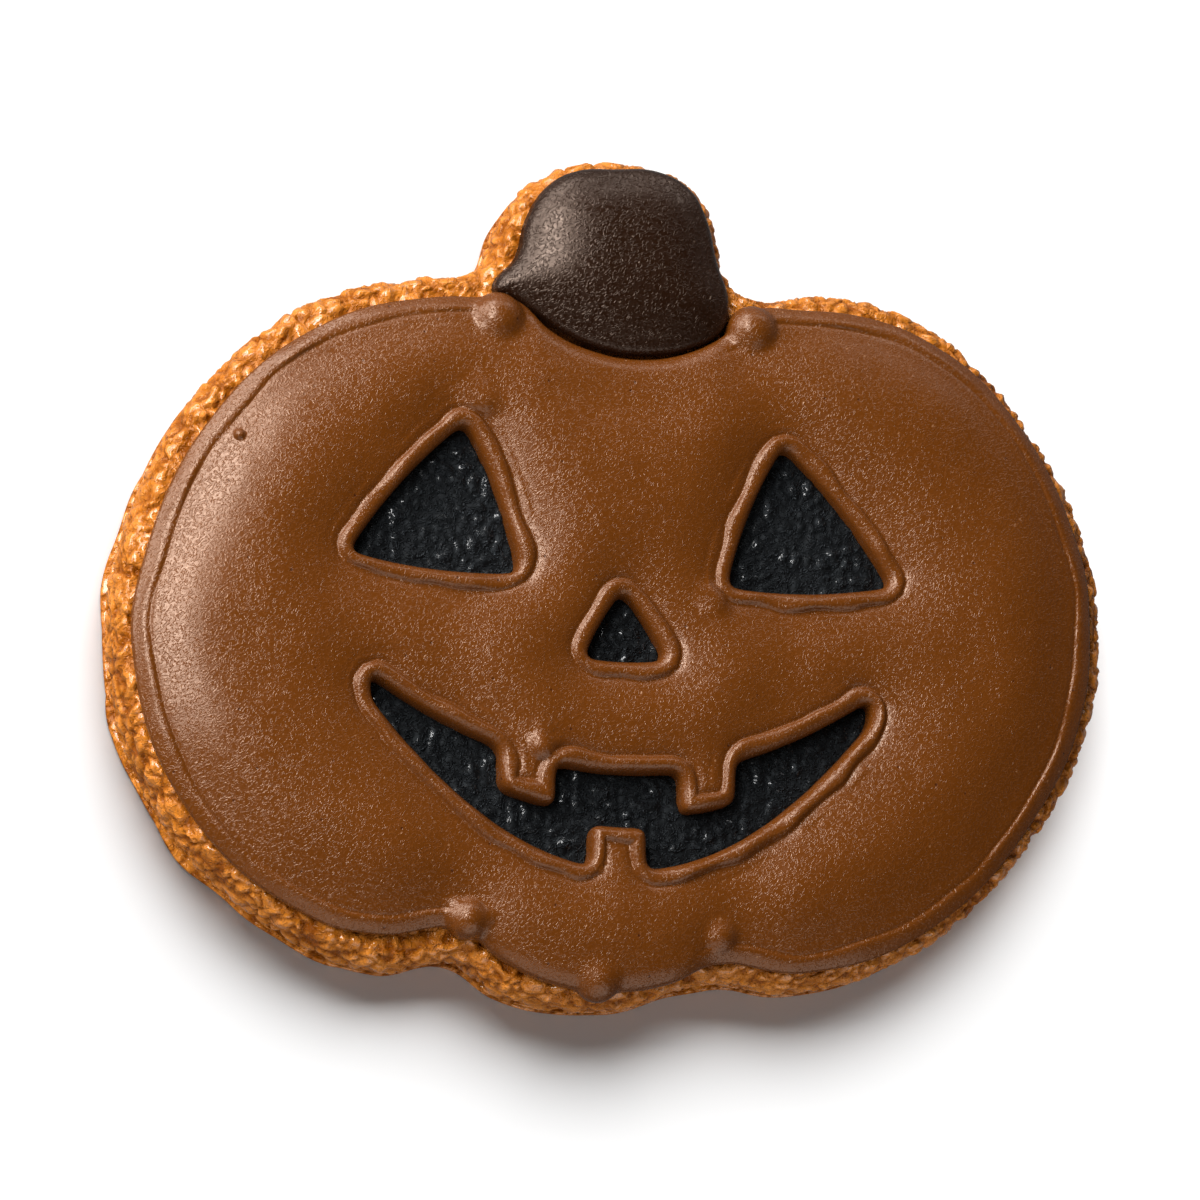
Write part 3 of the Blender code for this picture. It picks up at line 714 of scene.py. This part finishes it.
# Painted glints: small specks are painted light.
glint_specked = node_of(
    tree, "ShaderNodeMix", (0, grain.outputs["Specks"]), (6, pinhole_shaded), (7, (0.22, 0.10, 0.045, 1)), data_type="RGBA").outputs[2]
tree.links.new(glint_specked, shader.inputs["Base Color"])
relief = node_of(
    tree, "ShaderNodeMath", (0, grain.outputs["Pinholes"]), (1, -1.5), (2, grain.outputs["Strokes"]),
    operation="MULTIPLY_ADD").outputs[0]
relief = node_of(
    tree, "ShaderNodeMath", (0, grain.outputs["Grain"]), (1, 0.6), (2, relief), operation="MULTIPLY_ADD").outputs[0]
bumps = node_of(tree, "ShaderNodeBump", ("Strength", 1.0), ("Distance", 0.000021), ("Height", relief)).outputs["Normal"]
tree.links.new(bumps, shader.inputs["Normal"])
satin = node_of(
    tree, "ShaderNodeMapRange", ("Value", grain.outputs["Grain"]), ("From Min", 0.3), ("From Max", 0.7),
    ("To Min", 0.31), ("To Max", 0.2)).outputs["Result"]
tree.links.new(satin, shader.inputs["Roughness"])
place_piece("milk_chocolate_icing", milk_mesh, milk, "milk_chocolate_icing", "milk_icing")

# Stem
# Dark chocolate icing poured in one thick drop over the biscuit's stalk, with
# a thin skirt where it ran down, and set against the milk icing's border.

STEM_EDGE = [
    (10.8, 27.4), (9.5, 32.0), (8.5, 36.2), (6.8, 39.1), (3.5, 40.7), (-1.0, 40.6),
    (-5.0, 40.1), (-7.8, 38.2), (-9.7, 35.0), (-10.7, 31.2), (-13.0, 27.4), (-9.4, 25.6),
    (-6.3, 23.6), (-1.8, 22.0), (2.3, 21.8), (6.9, 22.8), (10.2, 25.1),
]
STEM_CREST = 3.85
STEM_SIDE = 0.55
STEM_STEP_TALL = 1.0
STEM_STEP_WIDE = 0.8
STEM_LEFT_WIDE = 1.0
STEM_INSET = 0.3
STEM_RISE_WIDE = 8.0
STEM_BLUR = 0.8
STEM_WALL = [(-0.1, -0.1), (-0.1, 0.1), (0.0, 0.3), (0.0, 0.42), (0.05, 0.55)]
STEM_STEP = 0.3
STEM_GAP = 0.02


def kept_clear(loop, other, gap):
    """The loop moved off another shape, to lie at least the gap outside it."""
    outward = -left_normals(other)
    tree = kdtree.KDTree(len(other))
    for i, (x, y) in enumerate(other):
        tree.insert((x, y, 0.0), i)
    tree.balance()
    moved = loop.copy()
    for i, (x, y) in enumerate(loop):
        near = tree.find((x, y, 0.0))[1]
        moved[i] += outward[near] * max(gap - (loop[i] - other[near]) @ outward[near], 0.0)
    return moved


def on_left(places):
    """1 at the left foot of the stem icing, where it ran down, and 0 elsewhere."""
    return np.clip((-places[:, 0] - 2.0) / 6.0, 0, 1) * np.clip((places[:, 1] - 25.0) / 4.0, 0, 1)


def stem_relief(places, edge):
    """Height of the stem icing above the biscuit: a rounded step, then a full dome."""
    corner, shape, cells = cells_over(edge)
    field = flank(distance_to(cells, edge) - STEM_INSET, STEM_RISE_WIDE) * inside(cells, edge[::5])
    swell = sampled(blurred(field.reshape(shape), STEM_BLUR), corner, places)
    step_wide = STEM_STEP_WIDE + STEM_LEFT_WIDE * on_left(places)
    step = STEM_STEP_TALL * shoulder(distance_to(places, edge), step_wide)
    dome = (STEM_CREST - STEM_SIDE - STEM_STEP_TALL) * swell
    return BISCUIT_THICK + STEM_SIDE + step + dome * (1 + 0.1 * wavering(places, 6.0))


stem_edge = softened(smooth_curve(STEM_EDGE), 0.3) + shift
stem_edge = softened(kept_clear(stem_edge, milk_edge, STEM_GAP), 0.2)
stem_loops = [evenly_spaced(stem_edge, STEM_STEP)]
stem_depths = np.concatenate([[0.06, 0.16], np.arange(0.3, 4.5, 0.2)])
stem_places = surface_places(stem_loops, stem_depths, 0.5, 0.12)
stem_wall = [(inset, BISCUIT_THICK + height) for inset, height in STEM_WALL]
stem_mesh = relief_mesh(
    "dark_chocolate_stem", stem_loops, stem_wall, stem_places, stem_relief(stem_places, stem_edge))

dark, tree, shader = food_material(
    "dark_chocolate", ("IOR", 1.45), ("Specular Tint", (1.0, 0.76, 0.62, 1.0)))
grain = node_of(
    tree, "ShaderNodeGroup", ("Grain Size", 3800.0), ("Curl", 0.0005), ("Stretch", 0.55), node_tree=grain_group)
dark_colour = node_of(
    tree, "ShaderNodeMix", (0, grain.outputs["Cloud"]), (6, (0.009, 0.0030, 0.0011, 1)), (7, (0.015, 0.0054, 0.0022, 1)),
    data_type="RGBA").outputs[2]
# Painted glints: small specks are painted light.
glint_specked = node_of(
    tree, "ShaderNodeMix", (0, grain.outputs["Specks"]), (6, dark_colour), (7, (0.14, 0.10, 0.075, 1)),
    data_type="RGBA").outputs[2]
tree.links.new(glint_specked, shader.inputs["Base Color"])
relief = node_of(
    tree, "ShaderNodeMath", (0, grain.outputs["Pinholes"]), (1, -1.5), (2, grain.outputs["Strokes"]),
    operation="MULTIPLY_ADD").outputs[0]
bumps = node_of(tree, "ShaderNodeBump", ("Strength", 1.0), ("Distance", 0.00003), ("Height", relief)).outputs["Normal"]
tree.links.new(bumps, shader.inputs["Normal"])
satin = node_of(
    tree, "ShaderNodeMapRange", ("Value", grain.outputs["Grain"]), ("From Min", 0.3), ("From Max", 0.7),
    ("To Min", 0.34), ("To Max", 0.23)).outputs["Result"]
tree.links.new(satin, shader.inputs["Roughness"])
place_piece("dark_chocolate_stem", stem_mesh, dark, "dark_chocolate_icing", "stem_icing")

# Black icing
# Thinned black icing spooned into the openings of the face, which dries dull
# and crumbly, well below the piped rims and running just under them.

FILL_THICK = 0.55
FILL_UNDER_RIM = 0.25
FILL_STEP = 0.3

black, tree, shader = food_material(
    "black_icing", ("Specular IOR Level", 0.2), ("Specular Tint", (0.85, 0.93, 1.0, 1.0)),
    ("Coat Roughness", 0.2))
grain = node_of(
    tree, "ShaderNodeGroup", ("Grain Size", 2500.0), ("Curl", 0.0012), ("Stretch", 0.8), node_tree=grain_group)
# Painted glints: the strokes are painted a lighter bluish grey, over the coat's own glints.
black_with_painted_glints = node_of(
    tree, "ShaderNodeMix", (0, grain.outputs["Strokes"]), (6, (0.0005, 0.0006, 0.0007, 1)), (7, (0.009, 0.011, 0.013, 1)),
    data_type="RGBA").outputs[2]
tree.links.new(black_with_painted_glints, shader.inputs["Base Color"])
bumps = node_of(
    tree, "ShaderNodeBump", ("Strength", 1.0), ("Distance", 0.0003), ("Height", grain.outputs["Strokes"])).outputs["Normal"]
tree.links.new(bumps, shader.inputs["Normal"])
dull = node_of(
    tree, "ShaderNodeMapRange", ("Value", grain.outputs["Strokes"]), ("From Min", 0.1), ("From Max", 0.8),
    ("To Min", 0.6), ("To Max", 0.3)).outputs["Result"]
tree.links.new(dull, shader.inputs["Roughness"])
glinting = node_of(
    tree, "ShaderNodeMapRange", ("Value", grain.outputs["Strokes"]), ("From Min", 0.35), ("From Max", 0.8),
    ("To Min", 0.0), ("To Max", 1.0)).outputs["Result"]
tree.links.new(glinting, shader.inputs["Coat Weight"])

for name, opening in openings.items():
    fill_loop = evenly_spaced(opening - left_normals(opening) * FILL_UNDER_RIM, FILL_STEP)
    fill_places = surface_places([fill_loop], np.arange(0.25, 1.0, 0.25), 0.27, 0.15)
    crumbly = 0.5 * abs(wavering(fill_places, 1.3)) + 0.14 * wavering(fill_places, 0.7)
    fill_heights = BISCUIT_THICK + FILL_THICK + crumbly
    fill_wall = [(0.0, BISCUIT_THICK - 0.1), (0.0, BISCUIT_THICK + FILL_THICK - 0.1)]
    fill_mesh = relief_mesh("black_" + name, [fill_loop], fill_wall, fill_places, fill_heights)
    place_piece("black_" + name, fill_mesh, black, "black_icing", name)

# Floor and lights
# A white table, a long softbox above the biscuit's left, and a low one past the
# stem that throws the soft shadow to the low side. White walls glow all round.

FLOOR_WIDE = 6.0
FOOD_LIGHT_AWAY = 0.5
FLOOR_LIGHT_AWAY = 1.6

floor_mesh = bpy.data.meshes.new("floor")
half = FLOOR_WIDE / 2
floor_mesh.from_pydata([(-half, -half, 0), (half, -half, 0), (half, half, 0), (-half, half, 0)], [], [(0, 1, 2, 3)])
table, tree, shader = food_material("white_table", ("Base Color", (0.93, 0.93, 0.93, 1)), ("Roughness", 0.8))
floor_mesh.materials.append(table)
floor = bpy.data.objects.new("floor", floor_mesh)
bpy.context.scene.collection.objects.link(floor)
floor.visible_glossy = False


def softbox(name, direction, distance, along, size, power, lit):
    """An area light that looks at the biscuit and lights one collection, its first side along a direction."""
    lamp = bpy.data.lights.new(name, "AREA")
    lamp.shape = "RECTANGLE"
    lamp.size, lamp.size_y = size
    lamp.energy = power
    away = Vector(direction).normalized()
    side = (Vector(along) - away * away.dot(Vector(along))).normalized()
    light = bpy.data.objects.new(name, lamp)
    turn = Matrix((side, away.cross(side), away)).transposed().to_4x4()
    light.matrix_world = Matrix.Translation(away * distance) @ turn
    light.light_linking.receiver_collection = lit
    bpy.context.scene.collection.objects.link(light)


lit_floor = bpy.data.collections.new("lit_floor")
lit_floor.objects.link(floor)
softbox("key_softbox", (-0.47, 0.34, 0.80), FOOD_LIGHT_AWAY, (0.19, 0.88, -0.21), (0.41, 0.125), 3.2, lit_food)
softbox("left_softbox", (-0.66, 0.62, 0.42), FOOD_LIGHT_AWAY, (0.68, 0.73, 0.0), (0.75, 0.2), 3.9, lit_food)
softbox("far_softbox", (0.25, 0.88, 0.42), FOOD_LIGHT_AWAY, (1.0, 0.0, 0.0), (0.56, 0.08), 0.5, lit_food)
softbox("near_softbox", (0.12, -0.92, 0.37), FOOD_LIGHT_AWAY, (1.0, 0.13, 0.0), (0.6, 0.45), 1.3, lit_food)
softbox("floor_softbox", (-0.03, 0.68, 0.73), FLOOR_LIGHT_AWAY, (1.0, 0.0, 0.0), (1.6, 1.0), 46.0, lit_floor)
softbox("floor_fill", (0.0, -0.50, 0.85), FLOOR_LIGHT_AWAY, (1.0, 0.0, 0.0), (1.6, 1.0), 3.0, lit_floor)

surroundings = bpy.data.worlds.new("surroundings")
surroundings.use_nodes = True
tree = surroundings.node_tree
way = node_of(tree, "ShaderNodeTexCoord").outputs["Generated"]
split = node_of(tree, "ShaderNodeSeparateXYZ", (0, way))
low_band = node_of(
    tree, "ShaderNodeMapRange", ("Value", split.outputs["Z"]), ("From Min", 0.2), ("From Max", 0.55),
    ("To Min", 1.0), ("To Max", 0.12), interpolation_type="SMOOTHSTEP").outputs["Result"]
past_stem = node_of(tree, "ShaderNodeVectorMath", (0, way), (1, (-0.45, 0.9, 0.0)), operation="DOT_PRODUCT").outputs["Value"]
far_side = node_of(
    tree, "ShaderNodeMapRange", ("Value", past_stem), ("From Min", -1.0), ("From Max", 1.0),
    ("To Min", 0.05), ("To Max", 0.35)).outputs["Result"]
glow = node_of(tree, "ShaderNodeMath", (0, low_band), (1, far_side), operation="MULTIPLY").outputs[0]
tree.links.new(glow, tree.nodes["Background"].inputs["Strength"])
tree.nodes["Background"].inputs["Color"].default_value = (1.0, 1.0, 1.0, 1.0)
bpy.context.scene.world = surroundings
bpy.context.scene.view_settings.view_transform = "Standard"
